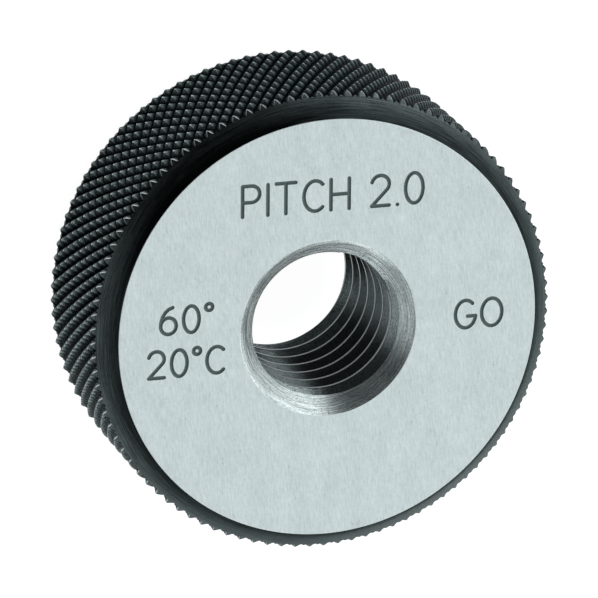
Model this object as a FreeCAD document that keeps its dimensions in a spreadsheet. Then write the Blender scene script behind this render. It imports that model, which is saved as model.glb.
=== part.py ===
import FreeCAD, Part
import math
import os
import Sketcher

# Thread ring gauge: one piece of hardened steel, turned to a ring with two lapped faces,
# bevelled corners, a diamond-knurled rim and a countersunk bore that carries the thread.
# Millimetres. The ring lies on its back face, axis along +Z, marked face up.
# +X is the direction in which the marks on the face are read.

doc = FreeCAD.newDocument("thread_ring_gauge")
sheet = doc.addObject("Spreadsheet::Sheet", "Dimensions")

# Driving dimensions, lengths in mm and angles in degrees
DIMENSIONS = {
    # the ring, over the tips of its knurl
    "ring_diameter": 38.0,
    "ring_width": 16.0,
    # the bevel from each face down to the rim
    "bevel_radial": 1.8,
    "bevel_axial": 2.0,
    # the metric thread
    "thread_diameter": 14.0,
    "thread_pitch": 2.0,
    # the countersink at each end: how much wider than the thread its mouth is, a 45 degree
    # edge break, then a slightly flatter lead-in, whose angle is from the axis
    "mouth_oversize": 0.5,
    "edge_break": 0.42,
    "lead_in_angle": 48.0,
    # the knurl: spacing of the teeth round the rim, slant of the grooves from the axis,
    # depth of the grooves, and how far the first column of teeth is turned from +X
    "knurl_spacing": 1.194,
    "knurl_angle": 31.0,
    "knurl_depth": 0.4,
    "knurl_turn": 1.1,
}
for row, (alias, number) in enumerate(DIMENSIONS.items(), start=1):
    sheet.set(f"A{row}", str(number))
    sheet.setAlias(f"A{row}", alias)
doc.recompute()


# The turned blank

# Crest of an internal metric thread: 5/8 of the sharp thread's height inside its diameter
THREAD_CREST_RADIUS = (
    "(Dimensions.thread_diameter / 2 - 5 / 8 * sqrt(3) / 2 * Dimensions.thread_pitch)"
)
RIM_RADIUS = "(Dimensions.ring_diameter / 2)"
FACE_RADIUS = f"({RIM_RADIUS} - Dimensions.bevel_radial)"
MOUTH_RADIUS = "((Dimensions.thread_diameter + Dimensions.mouth_oversize) / 2)"
LEAD_IN_RADIUS = f"({MOUTH_RADIUS} - Dimensions.edge_break)"
LEAD_IN_LENGTH = f"(({LEAD_IN_RADIUS} - {THREAD_CREST_RADIUS}) / tan(Dimensions.lead_in_angle))"
COUNTERSINK_DEPTH = f"(Dimensions.edge_break + {LEAD_IN_LENGTH})"


def section_corners():
    """Corners of the ring's half section, as radius and height: back end outwards, front end inwards."""
    one_end = [
        (THREAD_CREST_RADIUS, COUNTERSINK_DEPTH),
        (LEAD_IN_RADIUS, "Dimensions.edge_break"),
        (MOUTH_RADIUS, "0"),
        (FACE_RADIUS, "0"),
        (RIM_RADIUS, "Dimensions.bevel_axial"),
    ]
    front = [(radius, f"Dimensions.ring_width - {depth}") for radius, depth in reversed(one_end)]
    return one_end + front


def turned_blank():
    """Body of revolution that gives the ring its faces, bevels, bore and countersinks."""
    body = doc.addObject("PartDesign::Body", "turned_blank")
    planes = {feature.Role: feature for feature in body.Origin.OriginFeatures}
    sketch = body.newObject("Sketcher::SketchObject", "half_section")
    sketch.AttachmentSupport = [(planes["XZ_Plane"], "")]
    sketch.MapMode = "FlatFace"

    corners = section_corners()
    points = [
        FreeCAD.Vector(float(sketch.evalExpression(radius)), float(sketch.evalExpression(height)), 0)
        for radius, height in corners
    ]
    for start, end in zip(points, points[1:] + points[:1]):
        sketch.addGeometry(Part.LineSegment(start, end))
    origin = (-1, 1)
    horizontal_axis = -1
    for line, (radius, height) in enumerate(corners):
        previous = (line - 1) % len(corners)
        sketch.addConstraint(Sketcher.Constraint("Coincident", previous, 2, line, 1))
        across = sketch.addConstraint(
            Sketcher.Constraint("DistanceX", *origin, line, 1, points[line].x)
        )
        sketch.setExpression(f"Constraints[{across}]", radius)
        if height == "0":
            sketch.addConstraint(Sketcher.Constraint("PointOnObject", line, 1, horizontal_axis))
        else:
            up = sketch.addConstraint(
                Sketcher.Constraint("DistanceY", *origin, line, 1, points[line].y)
            )
            sketch.setExpression(f"Constraints[{up}]", height)

    revolution = body.newObject("PartDesign::Revolution", "turning")
    revolution.Profile = sketch
    revolution.ReferenceAxis = (sketch, ["V_Axis"])
    revolution.Angle = 360
    sketch.Visibility = False
    return body


# The diamond knurl

def knurled_bar():
    """Bar a little longer than the ring, cut by two crossing sets of helical V grooves.

    The grooves meet in a lattice: along each level round the bar, tips of teeth and crossings
    of grooves take turns, and on the next level they change places. Each tooth is a pyramid
    of four flat flanks between four crossings. A level of teeth lies halfway along the ring.
    """
    tip_radius = sheet.ring_diameter / 2
    root_radius = tip_radius - sheet.knurl_depth
    # a multiple of four teeth round the rim keeps the ring's outline centred on its axis
    teeth = 4 * round(math.pi * sheet.ring_diameter / sheet.knurl_spacing / 4)
    tooth_width = math.pi * sheet.ring_diameter / teeth
    tooth_length = tooth_width / math.tan(math.radians(sheet.knurl_angle))
    columns = 2 * teeth
    level_rise = tooth_length / 2
    levels_each_way = math.ceil(sheet.ring_width / 2 / level_rise) + 1
    levels = range(-levels_each_way, levels_each_way + 1)

    points = []
    for level in levels:
        height = sheet.ring_width / 2 + level * level_rise
        for column in range(columns):
            angle = math.radians(sheet.knurl_turn + 360 * column / columns)
            radius = tip_radius if (column + level) % 2 == 0 else root_radius
            points.append((radius * math.cos(angle), radius * math.sin(angle), height))
    bottom_centre = len(points)
    points.append((0, 0, points[0][2]))
    top_centre = len(points)
    points.append((0, 0, points[-2][2]))

    facets = []
    for row, level in enumerate(levels[:-1]):
        for column in range(columns):
            following = (column + 1) % columns
            lower_left = row * columns + column
            lower_right = row * columns + following
            upper_left = lower_left + columns
            upper_right = lower_right + columns
            # the fold between two flanks is the groove, which joins two crossings
            if (column + level) % 2 == 0:
                facets.append((lower_left, lower_right, upper_left))
                facets.append((lower_right, upper_right, upper_left))
            else:
                facets.append((lower_left, lower_right, upper_right))
                facets.append((lower_left, upper_right, upper_left))
    top_row = (len(levels) - 1) * columns
    for column in range(columns):
        following = (column + 1) % columns
        facets.append((bottom_centre, following, column))
        facets.append((top_centre, top_row + column, top_row + following))

    flanks = Part.Shape()
    sewing_tolerance = 0.001
    flanks.makeShapeFromMesh((points, facets), sewing_tolerance, True)
    bar = doc.addObject("Part::Feature", "knurled_bar")
    bar.Shape = Part.makeSolid(Part.makeShell(flanks.Faces))
    bar.Placement = FreeCAD.Placement()
    return bar


# The finished ring: what the knurled bar and the turned blank have in common

gauge_ring = doc.addObject("Part::Common", "gauge_ring")
gauge_ring.Base = turned_blank()
gauge_ring.Tool = knurled_bar()
# every flank meets its neighbours at an angle, so no faces want merging
gauge_ring.Refine = False
gauge_ring.Label = "gauge_ring"
gauge_ring.Placement = FreeCAD.Placement()
doc.recompute()

for item in doc.Objects:
    if "Invalid" in item.State or "Error" in item.State:
        raise RuntimeError(f"{item.Name} failed: {item.State}")

os.makedirs("parts", exist_ok=True)
for item in (gauge_ring,):
    if item.Shape.isNull() or not item.Shape.isValid() or len(item.Shape.Solids) != 1:
        raise RuntimeError(f"{item.Label} is not one valid solid")
    item.Shape.exportStep(f"parts/{item.Label}.step")
    print(item.Label, "volume", round(item.Shape.Volume, 2), "mm3,", len(item.Shape.Faces), "faces")
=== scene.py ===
import math
import bmesh
import bpy
from mathutils import Matrix, Vector
from mathutils.geometry import delaunay_2d_cdt


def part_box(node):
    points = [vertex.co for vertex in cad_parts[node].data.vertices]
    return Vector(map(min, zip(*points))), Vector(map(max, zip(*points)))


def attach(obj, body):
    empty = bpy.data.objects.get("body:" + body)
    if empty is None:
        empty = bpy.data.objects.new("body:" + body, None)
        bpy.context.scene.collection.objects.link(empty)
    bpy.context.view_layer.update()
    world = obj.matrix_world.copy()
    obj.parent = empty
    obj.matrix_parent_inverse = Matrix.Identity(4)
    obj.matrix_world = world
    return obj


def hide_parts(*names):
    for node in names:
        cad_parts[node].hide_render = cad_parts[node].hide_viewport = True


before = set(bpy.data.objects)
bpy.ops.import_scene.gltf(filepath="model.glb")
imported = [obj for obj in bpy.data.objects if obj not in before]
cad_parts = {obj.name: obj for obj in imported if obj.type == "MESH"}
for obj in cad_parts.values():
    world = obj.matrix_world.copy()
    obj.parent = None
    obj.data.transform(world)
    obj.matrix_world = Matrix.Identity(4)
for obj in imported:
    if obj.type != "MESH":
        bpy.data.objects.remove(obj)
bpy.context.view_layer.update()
MM = 0.001


# Camera and view: the photograph looks down on the marked face from far off with a long lens,
# turned so that the marks read nearly level.
def direction(azimuth, elevation):
    """Unit vector at this many degrees round from +X and up from the floor."""
    round_axis, up = math.radians(azimuth), math.radians(elevation)
    level = math.cos(up)
    return Vector((level * math.cos(round_axis), level * math.sin(round_axis), math.sin(up)))


aim = Vector((-2.444, 2.643, 16.0)) * MM
to_camera = direction(132.024, 65.475)
camera_distance = 600.006
focal_length = 457.93
roll = math.radians(-135.683)
level_up = (Vector((0, 0, 1)) - to_camera * to_camera.z).normalized()
level_right = level_up.cross(to_camera)
camera_up = level_up * math.cos(roll) + level_right * math.sin(roll)
camera_right = camera_up.cross(to_camera)
camera_data = bpy.data.cameras.new("photo_camera")
camera_data.sensor_fit = "HORIZONTAL"
camera_data.sensor_width = 36.0
camera_data.lens = focal_length
camera_data.clip_start = 0.05
camera_data.clip_end = 20.0
camera = bpy.data.objects.new("photo_camera", camera_data)
camera.matrix_world = (
    Matrix.Translation(aim + to_camera * camera_distance * MM)
    @ Matrix((camera_right, camera_up, to_camera)).transposed().to_4x4()
)
bpy.context.collection.objects.link(camera)
bpy.context.scene.camera = camera
bpy.context.scene.view_settings.view_transform = "Standard"


# Floor: a wide matt white sheet that the ring lies on. Seen directly or in metal it is
# as good as white, and the ring's soft shadow still falls on it.
floor_half = 3.0
under_ring = 0.00002
floor_grey = 0.3
floor_glow = 0.95
floor_mesh = bpy.data.meshes.new("floor")
floor_corners = [
    (x * floor_half, y * floor_half, -under_ring) for x, y in ((-1, -1), (1, -1), (1, 1), (-1, 1))
]
floor_mesh.from_pydata(floor_corners, [], [(0, 1, 2, 3)])
floor = bpy.data.objects.new("floor", floor_mesh)
bpy.context.collection.objects.link(floor)

floor_paper = bpy.data.materials.new("floor_paper")
floor_paper.use_nodes = True
nodes, links = floor_paper.node_tree.nodes, floor_paper.node_tree.links
nodes.clear()
floor_output = nodes.new("ShaderNodeOutputMaterial")
matt = nodes.new("ShaderNodeBsdfDiffuse")
matt.inputs["Color"].default_value = (floor_grey, floor_grey, floor_grey, 1)
glow = nodes.new("ShaderNodeEmission")
ray = nodes.new("ShaderNodeLightPath")
seen_or_mirrored = nodes.new("ShaderNodeMath")
seen_or_mirrored.operation = "MAXIMUM"
seen_through_too = nodes.new("ShaderNodeMath")
seen_through_too.operation = "MAXIMUM"
links.new(ray.outputs["Is Camera Ray"], seen_or_mirrored.inputs[0])
links.new(ray.outputs["Is Glossy Ray"], seen_or_mirrored.inputs[1])
links.new(seen_or_mirrored.outputs[0], seen_through_too.inputs[0])
links.new(ray.outputs["Is Transmission Ray"], seen_through_too.inputs[1])
glow_level = nodes.new("ShaderNodeMath")
glow_level.operation = "MULTIPLY"
glow_level.inputs[1].default_value = floor_glow
links.new(seen_through_too.outputs[0], glow_level.inputs[0])
links.new(glow_level.outputs[0], glow.inputs["Strength"])
both = nodes.new("ShaderNodeAddShader")
links.new(matt.outputs[0], both.inputs[0])
links.new(glow.outputs[0], both.inputs[1])
links.new(both.outputs[0], floor_output.inputs["Surface"])
floor_mesh.materials.append(floor_paper)


# Light: an even pale room that is dark only behind the camera, a soft box that the face
# mirrors to the camera, a brighter one to the right of the marks that lights the bore's left
# side, and one below the marks that fills the near side of the countersink.
room_brightness, dark_brightness = 0.62, 0.045
dark_direction = direction(126, 41)
dark_edge, dark_core = math.radians(56), math.radians(28)
world = bpy.data.worlds.new("studio")
world.use_nodes = True
nodes, links = world.node_tree.nodes, world.node_tree.links
room_light = nodes["Background"]
room_light.inputs["Color"].default_value = (0.95, 0.98, 1.0, 1)
sky = nodes.new("ShaderNodeTexCoord")
towards_dark = nodes.new("ShaderNodeVectorMath")
towards_dark.operation = "DOT_PRODUCT"
towards_dark.inputs[1].default_value = dark_direction
links.new(sky.outputs["Generated"], towards_dark.inputs[0])
room_level = nodes.new("ShaderNodeMapRange")
room_level.interpolation_type = "SMOOTHSTEP"
room_level.inputs["From Min"].default_value = math.cos(dark_edge)
room_level.inputs["From Max"].default_value = math.cos(dark_core)
room_level.inputs["To Min"].default_value = room_brightness
room_level.inputs["To Max"].default_value = dark_brightness
links.new(towards_dark.outputs["Value"], room_level.inputs["Value"])
links.new(room_level.outputs["Result"], room_light.inputs["Strength"])
bpy.context.scene.world = world


lamp_target = Vector((0, 0, 0.012))
lamp_distance = 0.8


def soft_box(name, azimuth, elevation, width, height, brightness):
    """Area lamp turned square to the ring, that adds this brightness to what a mirror shows."""
    lamp_data = bpy.data.lights.new(name, "AREA")
    lamp_data.shape = "RECTANGLE"
    lamp_data.size = width
    lamp_data.size_y = height
    lamp_data.energy = brightness * math.pi * width * height
    lamp = bpy.data.objects.new(name, lamp_data)
    outward = direction(azimuth, elevation)
    sideways = Vector((0, 0, 1)).cross(outward).normalized()
    upward = outward.cross(sideways)
    lamp.matrix_world = (
        Matrix.Translation(lamp_target + outward * lamp_distance)
        @ Matrix((sideways, upward, outward)).transposed().to_4x4()
    )
    bpy.context.collection.objects.link(lamp)


soft_box("top_box", azimuth=-48, elevation=65.5, width=0.62, height=0.62, brightness=0.47)
soft_box("side_box", azimuth=22, elevation=29.5, width=1.5, height=0.8, brightness=0.9)
soft_box("front_box", azimuth=-68, elevation=26, width=1.3, height=0.6, brightness=0.85)


# Ring: one piece of hardened steel. Its rim is turned, knurled in diamonds between two
# bevels and blackened, and both faces are then lapped bright.
box_low, box_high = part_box("gauge_ring")
ring_width = (box_high[2] - box_low[2]) / MM
tip_radius = 19.0
knurl_depth = 0.4
groove_radius = tip_radius - knurl_depth
bevel_radial = 1.8
bevel_axial = 2.0
face_radius = tip_radius - bevel_radial
# the small corner that lapping leaves round each face
corner = 0.018

# the knurl: tips and crossings of grooves take turns from column to column and from level to
# level; each column is drawn in five steps, and the first one stands 1.1 degrees round from +X
teeth = 100
groove_slant = math.radians(31.0)
tooth_length = math.pi * 2 * tip_radius / teeth / math.tan(groove_slant)
level_rise = tooth_length / 2
knurl_levels = 6
columns = 2 * teeth
first_column = 1.1
steps = 5
around = columns * steps

# the mesh, and what its points and faces tell the finishes
points = []
point_height = []
point_edge_glint = []
faces = []
face_finish = []
face_painted_light = []
LAPPED, TURNED, KNURLED, BEVELLED, ENGRAVED = range(5)


def knurl_flank(column, level):
    """How high its tooth stands at a place in the knurl: 0 in the grooves, 1 at the blunt tips."""
    rising = abs((column + level) % 2 - 1)
    falling = abs((column - level) % 2 - 1)
    groove_floor, crown = 0.06, 1.2
    up_flank = max(0.0, (min(rising, falling) - groove_floor) / (1 - groove_floor))
    return 1 - (1 - up_flank) ** crown


def knurl_radius(column, height):
    """Radius of the knurl at a column and a height, without the bevels."""
    level = (height - ring_width / 2) / level_rise
    return groove_radius + (tip_radius - groove_radius) * knurl_flank(column, level)


def bevel_cone(depth):
    """Radius of the bevel this far below the face."""
    return face_radius + bevel_radial / bevel_axial * depth


def bevel_depth(column):
    """How far below the face the knurl runs out into the bevel, at one column."""
    shallow, deep = bevel_axial * 0.5, bevel_axial * 1.05
    for halving in range(30):
        depth = (shallow + deep) / 2
        if bevel_cone(depth) < knurl_radius(column, ring_width - depth):
            shallow = depth
        else:
            deep = depth
    return deep


run_out = [bevel_depth(step / steps) for step in range(around)]


def rim_row(section):
    """Adds one ring of points; for each step the section gives radius, height, tooth and edge."""
    start = len(points)
    for step in range(around):
        radius, height, tooth, edge = section(step)
        angle = math.radians(first_column + 360 * step / around)
        points.append((radius * math.cos(angle), radius * math.sin(angle), height))
        point_height.append(tooth)
        point_edge_glint.append(edge)
    return start


def bevel_rows(end):
    """Rows from the last full level of teeth out to the face, for the back end -1 or the front end 1."""
    middle = ring_width / 2

    def between(share, edge=0.0):
        def section(step):
            last = level_rise * knurl_levels
            height = middle + end * (last + (middle - run_out[step] - last) * share)
            column = step / steps
            radius = knurl_radius(column, height)
            tooth = knurl_flank(column, (height - middle) / level_rise)
            # painted highlight: a bright glint along the edge where the knurl runs out, mostly on one
            # side of each tooth
            last_side = (column + knurl_levels) % 2 > 0.9
            edge_glint = min(1.0, 1.6 * tooth) * (1.0 if last_side else 0.2)
            return radius, height, tooth, edge * edge_glint
        return section

    def on_bevel(share):
        def section(step):
            depth = run_out[step] + (corner - run_out[step]) * share
            return bevel_cone(depth), middle + end * (middle - depth), 0.0, 0.0
        return section

    def corner_edge(step):
        return face_radius - corner, middle + end * middle, 0.0, 0.0

    sections = [
        (between(0.35), KNURLED),
        (between(0.7, edge=0.6), KNURLED),
        (between(1.0, edge=1.0), KNURLED),
        (on_bevel(0.05), BEVELLED),
        (on_bevel(0.6), BEVELLED),
        (on_bevel(1.0), BEVELLED),
        (corner_edge, LAPPED),
    ]
    return sections if end > 0 else sections[::-1]


# each row: its first point, its level in the knurl, and the finish of the strip on its outer side
rows = [(rim_row(section), None, kind) for section, kind in bevel_rows(-1)]
for part_level in range(-knurl_levels * steps, knurl_levels * steps + 1):
    level = part_level / steps
    height = ring_width / 2 + level * level_rise

    def on_level(step, level=level, height=height):
        return knurl_radius(step / steps, height), height, knurl_flank(step / steps, level), 0.0

    rows.append((rim_row(on_level), level, KNURLED))
rows += [(rim_row(section), None, kind) for section, kind in bevel_rows(1)]

# the centre of a triangle lies about a sixth of a step to one side of its square's centre
aside = 0.17
for (lower, level, low_kind), (upper, next_level, high_kind) in zip(rows, rows[1:]):
    kind = high_kind if points[lower][2] > ring_width / 2 else low_kind
    for step in range(around):
        after = (step + 1) % around
        column = (step + 0.5) / steps
        if level is not None and next_level is not None:
            row_level = (level + next_level) / 2
        else:
            heights = [points[i][2] for i in (lower + step, lower + after, upper + step, upper + after)]
            row_level = (sum(heights) / 4 - ring_width / 2) / level_rise
        rising = (math.floor(column) + math.floor(row_level)) % 2 == 0
        a, b, c, d = lower + step, lower + after, upper + after, upper + step
        corners = ((a, b, d), (b, c, d)) if rising else ((a, b, c), (a, c, d))
        for triangle in corners:
            faces.append(triangle)
            face_finish.append(kind)
            # place of the facet in its tooth, which tells the flanks that face each way round; the
            # flanks on the lower side of each tip get painted light
            side = aside if triangle in ((b, c, d), (a, b, c)) else -aside
            at_column = column + side / steps
            tip = round((at_column + row_level) / 2) + round((at_column - row_level) / 2)
            face_painted_light.append(1.0 if at_column < tip and kind == KNURLED else 0.0)


# Marks: generic words and numbers cut into the front face with a round-nosed cutter, one
# stroke at a time, and filled dark. They stand where a gauge carries its size.
degrees_apart = 14


def arc(centre_x, centre_y, across, tall, start, end):
    """Points along part of an ellipse, angles in degrees."""
    count = max(4, int(abs(end - start) / degrees_apart))
    angles = [math.radians(start + (end - start) * k / count) for k in range(count + 1)]
    return [(centre_x + across * math.cos(a), centre_y + tall * math.sin(a)) for a in angles]


# each letter: its width and the centre lines of its strokes, on a letter one unit tall
STROKES = {
    "P": (0.56, [[(0, 0), (0, 1)], [(0, 1)] + arc(0.3, 0.73, 0.26, 0.27, 90, -90) + [(0, 0.46)]]),
    "I": (0.0, [[(0, 0), (0, 1)]]),
    "T": (0.64, [[(0, 1), (0.64, 1)], [(0.32, 1), (0.32, 0)]]),
    "C": (0.62, [arc(0.37, 0.5, 0.37, 0.5, 48, 312)]),
    "H": (0.6, [[(0, 0), (0, 1)], [(0.6, 0), (0.6, 1)], [(0, 0.5), (0.6, 0.5)]]),
    "G": (0.68, [arc(0.37, 0.5, 0.37, 0.5, 48, 350), [(0.73, 0.42), (0.44, 0.42)]]),
    "O": (0.74, [arc(0.37, 0.5, 0.37, 0.5, 0, 360)]),
    "0": (0.58, [arc(0.29, 0.5, 0.29, 0.5, 0, 360)]),
    "2": (0.58, [arc(0.29, 0.71, 0.29, 0.29, 165, -35), [(0.53, 0.545), (0, 0)], [(0, 0), (0.58, 0)]]),
    "6": (0.58, [arc(0.29, 0.31, 0.29, 0.31, 0, 360), arc(0.52, 0.31, 0.52, 0.69, 180, 98)]),
    ".": (0.0, [[(0, 0), (0.01, 0)]]),
    "deg": (0.2, [arc(0.1, 0.9, 0.13, 0.13, 0, 360)]),
    " ": (0.2, []),
}
# the gap between letters is a share of their height
letter_gap = 0.27
stroke_width = 0.31
stroke_depth = 0.09
cut_reach = stroke_width * 0.47
fill_reach = stroke_width * 0.49


def mark_strokes(letters, centre_x, middle_y, height):
    """Centre lines of a row of letters, in millimetres on the face."""
    length = sum(STROKES[letter][0] for letter in letters) + letter_gap * (len(letters) - 1)
    pen = centre_x / height - length / 2
    made = []
    for letter in letters:
        for stroke in STROKES[letter][1]:
            made.append([((pen + x) * height, middle_y + (y - 0.5) * height) for x, y in stroke])
        pen += STROKES[letter][0] + letter_gap
    return made


strokes = (
    mark_strokes(["P", "I", "T", "C", "H", " ", "2", ".", "0"], centre_x=0.3, middle_y=11.04, height=2.5)
    + mark_strokes(["6", "0", "deg"], centre_x=-11.7, middle_y=1.75, height=2.2)
    + mark_strokes(["2", "0", "deg", "C"], centre_x=-11.7, middle_y=-1.8, height=2.2)
    + mark_strokes(["G", "O"], centre_x=12.5, middle_y=0.17, height=2.3)
)
# each stroke with the box that its cut lies in, so that only near ones are measured
stroke_reach = [
    ((min(x for x, y in stroke) - stroke_width, min(y for x, y in stroke) - stroke_width),
     (max(x for x, y in stroke) + stroke_width, max(y for x, y in stroke) + stroke_width), stroke)
    for stroke in strokes
]


def outline(stroke, half_width):
    """Closed polygon round a stroke with round ends, or one loop on each side of a ring."""
    closed = math.dist(stroke[0], stroke[-1]) < 1e-6
    line = [Vector(p) for p in stroke]
    sides = ([], [])
    count = len(line)
    for k, p in enumerate(line[:-1] if closed else line):
        before = line[k - 1] if k else (line[-2] if closed else p)
        after = line[k + 1] if k + 1 < count else p
        along = (after - before).normalized()
        normal = Vector((-along.y, along.x))
        sides[0].append(p + normal * half_width)
        sides[1].append(p - normal * half_width)
    if closed:
        return [sides[0], sides[1]]
    caps = []
    for end, inner in ((line[-1], line[-2]), (line[0], line[1])):
        heading = math.atan2(*(end - inner).yx)
        caps.append([end + Vector((math.cos(heading + a), math.sin(heading + a))) * half_width
                     for a in (math.radians(t) for t in (60, 30, 0, -30, -60))])
    return [sides[0] + caps[0] + sides[1][::-1] + caps[1]]


def from_strokes(x, y):
    """Distance from a place on the face to the nearest stroke's centre line."""
    nearest = stroke_width
    for low, high, stroke in stroke_reach:
        if low[0] < x < high[0] and low[1] < y < high[1]:
            for (ax, ay), (bx, by) in zip(stroke, stroke[1:]):
                square = (bx - ax) ** 2 + (by - ay) ** 2
                share = max(0, min(1, ((x - ax) * (bx - ax) + (y - ay) * (by - ay)) / square))
                off_x = x - ax - share * (bx - ax)
                off_y = y - ay - share * (by - ay)
                nearest = min(nearest, math.hypot(off_x, off_y))
    return nearest


# the faces are filled in from their corner to the sleeve that holds the bore
sleeve_radius = 8.0
bore_around = 192


def flat_face(outer_start, height, marks):
    """Fills a face between its corner and the bore's sleeve, with the marks cut into it."""
    plane = [Vector(points[outer_start + step][:2]) for step in range(around)]
    for k in range(bore_around):
        turn = 2 * math.pi * k / bore_around
        plane.append(Vector((sleeve_radius * math.cos(turn), sleeve_radius * math.sin(turn))))
    edges = [(k, (k + 1) % around) for k in range(around)]
    edges += [(around + k, around + (k + 1) % bore_around) for k in range(bore_around)]
    for stroke in marks:
        brim = outline(stroke, stroke_width / 2)
        inside_brim = outline(stroke, stroke_width / 3.2)
        for loop in brim + inside_brim:
            first = len(plane)
            plane += loop
            edges += [(first + k, first + (k + 1) % len(loop)) for k in range(len(loop))]
        first = len(plane)
        plane += [Vector(p) for p in stroke]
        edges += [(first + k, first + k + 1) for k in range(len(stroke) - 1)]
    flat, _, triangles, came_from, _, _ = delaunay_2d_cdt(plane, edges, [], 0, 1e-5)
    point_of = {}
    for k, place in enumerate(flat):
        ring_point = next((i for i in came_from[k] if i < around), None)
        if ring_point is not None:
            point_of[k] = outer_start + ring_point
            continue
        away = from_strokes(*place) if marks else stroke_width
        sunk = stroke_depth * (1 - (2 * away / stroke_width) ** 2) if away < cut_reach else 0
        point_of[k] = len(points)
        points.append((place.x, place.y, height - sunk))
        point_height.append(0.0)
        point_edge_glint.append(0.0)
    for triangle in triangles:
        centre = sum((flat[k] for k in triangle), Vector((0, 0))) / 3
        # what the triangles cover inside the sleeve or past the corner is left out
        if centre.length < sleeve_radius * 0.9998 or centre.length > face_radius - corner * 0.9:
            continue
        in_mark = marks and from_strokes(*centre) < fill_reach
        facing = triangle if height > 0 else triangle[::-1]
        faces.append(tuple(point_of[k] for k in facing))
        face_finish.append(ENGRAVED if in_mark else LAPPED)
        face_painted_light.append(0.0)


flat_face(rows[-1][0], ring_width, strokes)
flat_face(rows[0][0], 0.0, [])

ring_mesh = bpy.data.meshes.new("ring_gauge")
ring_mesh.from_pydata([Vector(p) * MM for p in points], [], faces)
# the tooth height, a mask for the painted edge highlights, and a mask for the painted lit flanks
for name, values, domain in (
    ("tooth_height", point_height, "POINT"),
    ("painted_edge_glint", point_edge_glint, "POINT"),
    ("painted_lit_flank", face_painted_light, "FACE"),
):
    layer = ring_mesh.attributes.new(name, "FLOAT", domain)
    layer.data.foreach_set("value", values)
ring_mesh.polygons.foreach_set("material_index", face_finish)


# Bore: a sleeve through the ring with a countersink at each end. The right-hand M14 x 2
# thread is one V groove that winds through it and runs out in the countersinks.
crest_radius = 5.9175
mouth_radius = 7.25
mouth_round = 0.03
edge_break = 0.42
lead_in_slant = math.radians(48)
lead_in = (mouth_radius - edge_break - crest_radius) / math.tan(lead_in_slant)
pitch = 2.0
crest_flat = 0.25
groove_half = (pitch - crest_flat) / 2
flank_slope = math.tan(math.radians(30))
thread_depth = 1.16
root_half = groove_half - thread_depth * flank_slope


def closed_tube(name, sections, loop):
    """Mesh object from a list of closed sections; its ends are joined to a loop or capped."""
    count = len(sections[0])
    verts = [Vector(p) * MM for section in sections for p in section]
    last = len(sections) - 1
    walls = []
    for s in range(last + 1 if loop else last):
        a, b = s * count, ((s + 1) % len(sections)) * count
        walls += [(a + k, a + (k + 1) % count, b + (k + 1) % count, b + k) for k in range(count)]
    if not loop:
        walls.append(tuple(reversed(range(count))))
        walls.append(tuple(range(last * count, len(verts))))
    mesh = bpy.data.meshes.new(name)
    mesh.from_pydata(verts, [], walls)
    solid = bpy.data.objects.new(name, mesh)
    bpy.context.collection.objects.link(solid)
    bm = bmesh.new()
    bm.from_mesh(mesh)
    bmesh.ops.recalc_face_normals(bm, faces=bm.faces)
    bm.to_mesh(mesh)
    bm.free()
    return solid


one_end = [
    (sleeve_radius, 0.0),
    (mouth_radius + mouth_round, 0.0),
    (mouth_radius - mouth_round * 0.7, mouth_round * 0.7),
    (mouth_radius - edge_break, edge_break),
    (crest_radius, edge_break + lead_in),
]
half_section = one_end + [(radius, ring_width - depth) for radius, depth in reversed(one_end)]
sleeve_sections = []
for k in range(bore_around):
    turn = 2 * math.pi * k / bore_around
    across, along = math.cos(turn), math.sin(turn)
    sleeve_sections.append([(r * across, r * along, height) for r, height in half_section])
sleeve = closed_tube("bore_sleeve", sleeve_sections, loop=True)

# heights between which the groove runs, and how many turns it takes to run out at each end
groove_start, groove_end, fade_turns = 1.0, 14.9, 0.36
# in the photograph a crest stands at this height, this many degrees round from +X
crest_height, crest_azimuth = 3.24, -40
groove_at_zero = crest_height - pitch * crest_azimuth / 360 - pitch / 2
# the cutter starts a little inside the bore's wall and leaves it clear where the groove ends
cutter_inside, cutter_clear = 0.1, 0.06
first_turn = (groove_start - groove_at_zero) / pitch
last_turn = (groove_end - groove_at_zero) / pitch
groove_sections = []
steps_along = round((last_turn - first_turn) * bore_around)
for k in range(steps_along + 1):
    turn = first_turn + (last_turn - first_turn) * k / steps_along
    fade = min(1.0, (turn - first_turn) / fade_turns, (last_turn - turn) / fade_turns)
    depth = (thread_depth + cutter_clear) * math.sqrt(max(0.0, fade)) - cutter_clear
    mid = groove_at_zero + pitch * turn
    angle = 2 * math.pi * turn
    mouth_half = root_half + (depth + cutter_inside) * flank_slope
    profile = [
        (crest_radius - cutter_inside, -mouth_half),
        (crest_radius + depth, -root_half),
        (crest_radius + depth, root_half),
        (crest_radius - cutter_inside, mouth_half),
    ]
    groove_sections.append([(r * math.cos(angle), r * math.sin(angle), mid + up) for r, up in profile])
groove_cutter = closed_tube("thread_groove", groove_sections, loop=False)

cut = sleeve.modifiers.new("thread", "BOOLEAN")
cut.operation = "DIFFERENCE"
cut.solver = "MANIFOLD"
cut.object = groove_cutter
bored = bpy.data.meshes.new_from_object(sleeve.evaluated_get(bpy.context.evaluated_depsgraph_get()))
bpy.data.objects.remove(sleeve)
bpy.data.objects.remove(groove_cutter)


def lies_outside(face, radius):
    """Whether all of a mesh face is further than this many millimetres from the axis."""
    return all(math.hypot(v.co.x, v.co.y) > radius * MM for v in face.verts)


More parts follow.
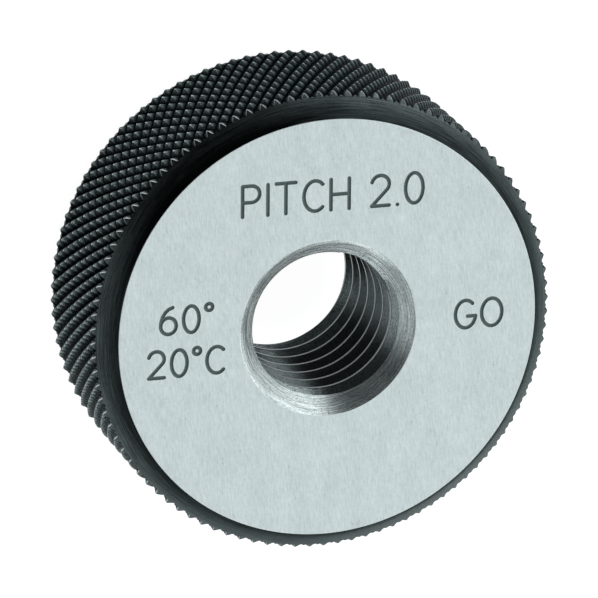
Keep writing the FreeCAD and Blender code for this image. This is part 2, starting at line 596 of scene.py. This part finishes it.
# the sleeve's outer wall goes, and its flat ends are joined to the faces
ring_bm = bmesh.new()
ring_bm.from_mesh(ring_mesh)
bore_bm = bmesh.new()
bore_bm.from_mesh(bored)
outer_wall = [
    face for face in bore_bm.faces
    if lies_outside(face, sleeve_radius - 0.01) and abs(face.normal.z) < 0.5
]
bmesh.ops.delete(bore_bm, geom=outer_wall, context="FACES")
bmesh.ops.triangulate(bore_bm, faces=bore_bm.faces)
for face in bore_bm.faces:
    flat_end = abs(face.normal.z) > 0.999 and lies_outside(face, mouth_radius + mouth_round / 2)
    face.material_index = LAPPED if flat_end else TURNED
bore_bm.to_mesh(bored)
bore_bm.free()
ring_bm.from_mesh(bored)
seam = [v for v in ring_bm.verts if v.is_boundary]
seam_gap = 0.002 * MM
bmesh.ops.remove_doubles(ring_bm, verts=seam, dist=seam_gap)
ring_bm.normal_update()
ring_bm.to_mesh(ring_mesh)
ring_bm.free()
sharp_edge = math.radians(24)
ring_mesh.set_sharp_from_angle(angle=sharp_edge)
# the lapped faces stay flat right up to the marks
for face in ring_mesh.polygons:
    on_face = face.material_index == LAPPED and abs(face.normal.z) > 0.98
    face.use_smooth = not on_face
ring = bpy.data.objects.new("ring_gauge", ring_mesh)
bpy.context.collection.objects.link(ring)
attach(ring, "root")
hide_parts("gauge_ring")


# Finishes: the faces are lapped bright, the bore and the thread are turned and ground, the rim and the
# bevels are blackened by hot oxide, and the marks hold dark engraver's wax. The knurl and the thread
# also carry painted light and shade.
def shading_group(name, inputs, outputs):
    """Empty node group with named number inputs and outputs, and its end nodes."""
    group = bpy.data.node_groups.new(name, "ShaderNodeTree")
    for label, usual in inputs:
        socket = group.interface.new_socket(label, in_out="INPUT", socket_type="NodeSocketFloat")
        socket.default_value = usual
    for label in outputs:
        group.interface.new_socket(label, in_out="OUTPUT", socket_type="NodeSocketFloat")
    return group, group.nodes.new("NodeGroupInput"), group.nodes.new("NodeGroupOutput")


def number(tree, operation, first, second=None, clamp=False):
    """Math node; each input is a socket or a plain number."""
    node = tree.nodes.new("ShaderNodeMath")
    node.operation = operation
    node.use_clamp = clamp
    for socket, value in zip(node.inputs, (first, second)):
        if isinstance(value, bpy.types.NodeSocket):
            tree.links.new(value, socket)
        elif value is not None:
            socket.default_value = value
    return node.outputs[0]


def place_in_mm(tree):
    """Place on the ring in millimetres, as x, y and z."""
    place = tree.nodes.new("ShaderNodeTexCoord")
    millimetres = tree.nodes.new("ShaderNodeVectorMath")
    millimetres.operation = "SCALE"
    millimetres.inputs["Scale"].default_value = 1000
    tree.links.new(place.outputs["Object"], millimetres.inputs[0])
    parts = tree.nodes.new("ShaderNodeSeparateXYZ")
    tree.links.new(millimetres.outputs[0], parts.inputs[0])
    return parts.outputs


def from_axis(tree, x, y):
    """Distance of a place on the ring from the bore's axis."""
    squares = number(tree, "ADD", number(tree, "MULTIPLY", x, x), number(tree, "MULTIPLY", y, y))
    return number(tree, "SQRT", squares)


def noise_at(tree, x, y, z, detail, roughness):
    """Noise value at a place given by three sockets, one cell to the unit."""
    where = tree.nodes.new("ShaderNodeCombineXYZ")
    for socket, value in zip(where.inputs, (x, y, z)):
        tree.links.new(value, socket)
    noise = tree.nodes.new("ShaderNodeTexNoise")
    noise.inputs["Scale"].default_value = 1
    noise.inputs["Detail"].default_value = detail
    noise.inputs["Roughness"].default_value = roughness
    tree.links.new(where.outputs[0], noise.inputs["Vector"])
    return noise.outputs["Fac"]


def spread(tree, value, low, high):
    """Stretches a value so that low becomes 0 and high becomes 1, held between them."""
    stretch = tree.nodes.new("ShaderNodeMapRange")
    stretch.inputs["From Min"].default_value = low
    stretch.inputs["From Max"].default_value = high
    tree.links.new(value, stretch.inputs["Value"])
    return stretch.outputs["Result"]


# lines left by turning: they follow the circumference, and fade in and out along it
turning_lines, given, result = shading_group(
    "turning_lines", [("Line Width", 0.1), ("Axial Share", 0.0)], ["Lines"])
x, y, z = place_in_mm(turning_lines)
radius = from_axis(turning_lines, x, y)
from_middle = number(turning_lines, "ABSOLUTE", number(turning_lines, "SUBTRACT", z, ring_width / 2))
axial = number(turning_lines, "MULTIPLY", from_middle, given.outputs["Axial Share"])
across = number(turning_lines, "ADD", radius, axial)
line_place = number(turning_lines, "DIVIDE", across, given.outputs["Line Width"])
along_x, along_y = (number(turning_lines, "MULTIPLY", part, 0.35) for part in (x, y))
lines = noise_at(turning_lines, line_place, along_x, along_y, detail=2.0, roughness=0.6)
turning_lines.links.new(spread(turning_lines, lines, 0.36, 0.64), result.inputs["Lines"])

# streaks left by lapping: short, nearly straight, all one way
lapping_streaks, given, result = shading_group(
    "lapping_streaks", [("Streak Width", 0.12), ("Streak Length", 1.0)], ["Streaks"])
x, y, z = place_in_mm(lapping_streaks)
leaning = number(lapping_streaks, "ADD", x, number(lapping_streaks, "MULTIPLY", y, 0.12))
across = number(lapping_streaks, "DIVIDE", leaning, given.outputs["Streak Width"])
along = number(lapping_streaks, "DIVIDE", y, given.outputs["Streak Length"])
streaks = noise_at(lapping_streaks, across, along, z, detail=3.0, roughness=0.6)
lapping_streaks.links.new(spread(lapping_streaks, streaks, 0.3, 0.7), result.inputs["Streaks"])

# grain, and pits where the grain rises over the bareness
spots, given, result = shading_group(
    "spots", [("Spot Size", 0.15), ("Bareness", 0.6)], ["Grain", "Pits"])
cells = [number(spots, "DIVIDE", part, given.outputs["Spot Size"]) for part in place_in_mm(spots)]
grain = noise_at(spots, *cells, detail=2.0, roughness=0.65)
over = number(spots, "SUBTRACT", grain, given.outputs["Bareness"])
spots.links.new(spread(spots, grain, 0.3, 0.7), result.inputs["Grain"])
spots.links.new(number(spots, "MULTIPLY", over, 16.0, clamp=True), result.inputs["Pits"])


def place_group(tree, group, **values):
    """Puts a shared group in a material; a value is named for its input with _ for each space."""
    node = tree.nodes.new("ShaderNodeGroup")
    node.node_tree = group
    for label, value in values.items():
        node.inputs[label.replace("_", " ").title()].default_value = value
    return node


def blend_colour(tree, factor, first, second):
    """Colour between two, each a socket or a colour."""
    mix = tree.nodes.new("ShaderNodeMix")
    mix.data_type = "RGBA"
    tree.links.new(factor, mix.inputs["Factor"])
    for socket, value in ((mix.inputs["A"], first), (mix.inputs["B"], second)):
        if isinstance(value, bpy.types.NodeSocket):
            tree.links.new(value, socket)
        else:
            socket.default_value = (*value, 1)
    return mix.outputs["Result"]


def attribute(tree, name):
    """Value that the mesh carries under this name."""
    node = tree.nodes.new("ShaderNodeAttribute")
    node.attribute_name = name
    return node.outputs["Fac"]


def finish(name, colour, metallic):
    """Material with one Principled shader, in the ring's next slot."""
    made = bpy.data.materials.new(name)
    made.use_nodes = True
    made.diffuse_color = (*colour, 1)
    shader = made.node_tree.nodes["Principled BSDF"]
    shader.inputs["Base Color"].default_value = (*colour, 1)
    shader.inputs["Metallic"].default_value = metallic
    ring_mesh.materials.append(made)
    return made.node_tree, shader


def add_roughness(tree, shader, value, low, high):
    """Drives the roughness from low to high as the value goes from 0 to 1."""
    roughness = tree.nodes.new("ShaderNodeMapRange")
    roughness.inputs["To Min"].default_value = low
    roughness.inputs["To Max"].default_value = high
    tree.links.new(value, roughness.inputs["Value"])
    tree.links.new(roughness.outputs["Result"], shader.inputs["Roughness"])


def add_relief(tree, shader, value, rise):
    """Raises the surface by as much as this many millimetres where the value is 1."""
    relief = tree.nodes.new("ShaderNodeBump")
    relief.inputs["Distance"].default_value = rise * MM
    tree.links.new(value, relief.inputs["Height"])
    tree.links.new(relief.outputs["Normal"], shader.inputs["Normal"])


# the lapped faces
tree, shader = finish("lapped_steel", (0.58, 0.655, 0.655), 0.7)
streaks = place_group(tree, lapping_streaks, streak_width=0.13, streak_length=0.9).outputs["Streaks"]
broad = place_group(tree, lapping_streaks, streak_width=1.6, streak_length=4.0).outputs["Streaks"]
grain = place_group(tree, spots, spot_size=0.22, bareness=0.7).outputs["Grain"]
blotches = number(
    tree, "ADD", number(tree, "MULTIPLY", broad, 0.25), number(tree, "MULTIPLY", grain, 0.25))
wear = number(tree, "ADD", number(tree, "MULTIPLY", streaks, 0.5), blotches)
steel = blend_colour(tree, wear, (0.45, 0.52, 0.52), (0.71, 0.79, 0.79))
tree.links.new(steel, shader.inputs["Base Color"])
add_roughness(tree, shader, wear, 0.26, 0.36)
add_relief(tree, shader, wear, 0.0015)

# the countersinks and the thread, with fine tool lines and small pits, painted shade that grows towards
# the middle of the bore, and painted dark crests
tree, shader = finish("turned_steel", (0.6, 0.68, 0.68), 1.0)
lines = place_group(tree, turning_lines, line_width=0.07, axial_share=0.8).outputs["Lines"]
pitted = place_group(tree, spots, spot_size=0.1, bareness=0.51)
x, y, z = place_in_mm(tree)
radius = from_axis(tree, x, y)
from_middle = number(tree, "ABSOLUTE", number(tree, "SUBTRACT", z, ring_width / 2))
thread_half = ring_width / 2 - edge_break - lead_in
threaded = spread(tree, from_middle, thread_half + 0.1, thread_half - 0.1)
bright = blend_colour(tree, lines, (0.36, 0.43, 0.43), (0.92, 1.0, 1.0))
ground = blend_colour(tree, pitted.outputs["Grain"], (0.34, 0.4, 0.4), (0.62, 0.7, 0.7))
# painted shade: the thread darkens towards the middle of the bore
deep = number(tree, "MULTIPLY", spread(tree, from_middle, 7.2, 3.0), 0.8)
shaded_towards_middle = blend_colour(tree, deep, ground, (0.035, 0.045, 0.045))
# painted shade on the thread's crests
crest = spread(tree, radius, crest_radius + 0.06, crest_radius + 0.02)
crest_shade = number(tree, "MULTIPLY", crest, 0.8)
thread_colour = blend_colour(tree, crest_shade, shaded_towards_middle, (0.08, 0.1, 0.1))
clean = blend_colour(tree, threaded, bright, thread_colour)
pit_share = number(tree, "ADD", 0.5, number(tree, "MULTIPLY", threaded, 0.4))
pits = number(tree, "MULTIPLY", pitted.outputs["Pits"], pit_share)
steel = blend_colour(tree, pits, clean, (0.03, 0.04, 0.04))
tree.links.new(steel, shader.inputs["Base Color"])
metal = number(tree, "ADD", 0.92, number(tree, "MULTIPLY", threaded, 0.08))
tree.links.new(metal, shader.inputs["Metallic"])
add_relief(tree, shader, lines, 0.003)
scraped = number(tree, "ADD", 0.22, number(tree, "MULTIPLY", lines, 0.08))
smooth_thread = number(tree, "SUBTRACT", scraped, number(tree, "MULTIPLY", threaded, 0.1))
tree.links.new(smooth_thread, shader.inputs["Roughness"])
# tool lines run round the axis and scatter light across themselves
shader.inputs["Anisotropic"].default_value = 0.9
shader.inputs["Anisotropic Rotation"].default_value = 0.25

# the knurl: black oxide, with painted shade in the grooves, painted light on one side of each tooth,
# painted glints at the tips, and painted highlights along the edges where the bevel cuts the teeth
tree, shader = finish("knurled_oxide", (0.03, 0.038, 0.037), 1.0)
shader.inputs["Specular Tint"].default_value = (0.34, 0.36, 0.36, 1)
grain = place_group(tree, spots, spot_size=0.13, bareness=0.5).outputs["Grain"]
tooth = attribute(tree, "tooth_height")
rubbed = number(tree, "MULTIPLY", grain, 2.1)
# painted shade: dark in the grooves and lighter towards the tips, varied by the grain
high = number(tree, "MULTIPLY", number(tree, "POWER", tooth, 2.0), rubbed, clamp=True)
shaded_flank_paint = blend_colour(tree, high, (0.003, 0.004, 0.004), (0.07, 0.086, 0.088))
lit_flank_paint = blend_colour(tree, high, (0.004, 0.005, 0.005), (0.25, 0.3, 0.305))
# painted light: one flank of each tooth is painted lighter, as if lit from one side
flanks = blend_colour(tree, attribute(tree, "painted_lit_flank"), shaded_flank_paint, lit_flank_paint)
speckled = number(tree, "ADD", 0.2, grain)
# painted glints: near-white colour on the tips of the teeth
tip = number(tree, "MULTIPLY", spread(tree, tooth, 0.86, 0.98), speckled, clamp=True)
with_tip_glints = blend_colour(tree, tip, flanks, (0.75, 0.85, 0.85))
# painted highlights: near-white colour along the knurl's run-out edges
with_edge_glints = blend_colour(tree, attribute(tree, "painted_edge_glint"), with_tip_glints, (0.9, 0.98, 0.98))
tree.links.new(with_edge_glints, shader.inputs["Base Color"])
add_roughness(tree, shader, grain, 0.3, 0.45)
add_relief(tree, shader, grain, 0.015)

# the bevels: blackened over fine turning lines, worn grey towards the knurl
tree, shader = finish("bevel_oxide", (0.02, 0.028, 0.028), 1.0)
shader.inputs["Specular Tint"].default_value = (0.6, 0.64, 0.64, 1)
lines = place_group(tree, turning_lines, line_width=0.06, axial_share=-0.9).outputs["Lines"]
grain = place_group(tree, spots, spot_size=0.25, bareness=0.5).outputs["Grain"]
x, y = place_in_mm(tree)[:2]
radius = from_axis(tree, x, y)
towards_knurl = number(tree, "POWER", spread(tree, radius, face_radius, tip_radius), 1.7)
patchy = number(tree, "ADD", 0.7, number(tree, "MULTIPLY", grain, 0.4))
worn = number(tree, "MULTIPLY", towards_knurl, patchy, clamp=True)
dark_line = blend_colour(tree, worn, (0.003, 0.004, 0.004), (0.05, 0.062, 0.062))
light_line = blend_colour(tree, worn, (0.027, 0.035, 0.036), (0.17, 0.205, 0.205))
tree.links.new(blend_colour(tree, lines, dark_line, light_line), shader.inputs["Base Color"])
add_roughness(tree, shader, lines, 0.15, 0.24)
add_relief(tree, shader, lines, 0.0025)

# the wax in the marks
tree, shader = finish("engraving_fill", (0.07, 0.1, 0.1), 0.0)
grain = place_group(tree, spots, spot_size=0.12, bareness=0.5).outputs["Grain"]
wax = blend_colour(tree, grain, (0.05, 0.08, 0.08), (0.1, 0.14, 0.14))
tree.links.new(wax, shader.inputs["Base Color"])
add_roughness(tree, shader, grain, 0.4, 0.6)
add_relief(tree, shader, grain, 0.004)
